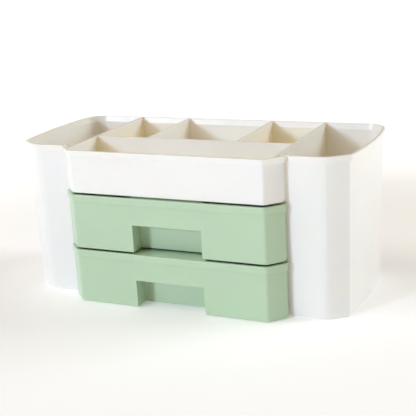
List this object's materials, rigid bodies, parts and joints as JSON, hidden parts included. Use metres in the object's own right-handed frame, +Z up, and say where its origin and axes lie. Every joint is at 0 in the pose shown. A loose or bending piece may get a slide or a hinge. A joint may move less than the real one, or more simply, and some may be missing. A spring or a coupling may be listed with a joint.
{
  "type": "brush holder with drawers",
  "caption": "Desktop brush and cosmetics holder: tall open bins at both ends, divided open trays between them and pull-out drawers with finger recesses under the trays.",
  "frame": {"origin": "middle of the footprint, on the table", "axes": "+X to the right bin, +Y to the back, +Z up; the drawers open towards -Y"},
  "size_m": [0.3184, 0.1548, 0.1403],
  "materials": {
    "white_plastic": "satin gloss, warm white",
    "mint_plastic": "satin gloss, pastel mint green"
  },
  "bodies": {
    "body": {"body": "white_plastic", "drawer_shelf": "white_plastic", "base_panel": "white_plastic"},
    "upper_drawer": {"upper_drawer": "mint_plastic"},
    "lower_drawer": {"lower_drawer": "mint_plastic"}
  },
  "joints": [
    {"name": "upper_drawer_slide", "type": "slide", "parent": "body", "child": "upper_drawer", "axis": [0, -1, 0], "range_m": [0, 0.12]},
    {"name": "lower_drawer_slide", "type": "slide", "parent": "body", "child": "lower_drawer", "axis": [0, -1, 0], "range_m": [0, 0.12]}
  ]
}
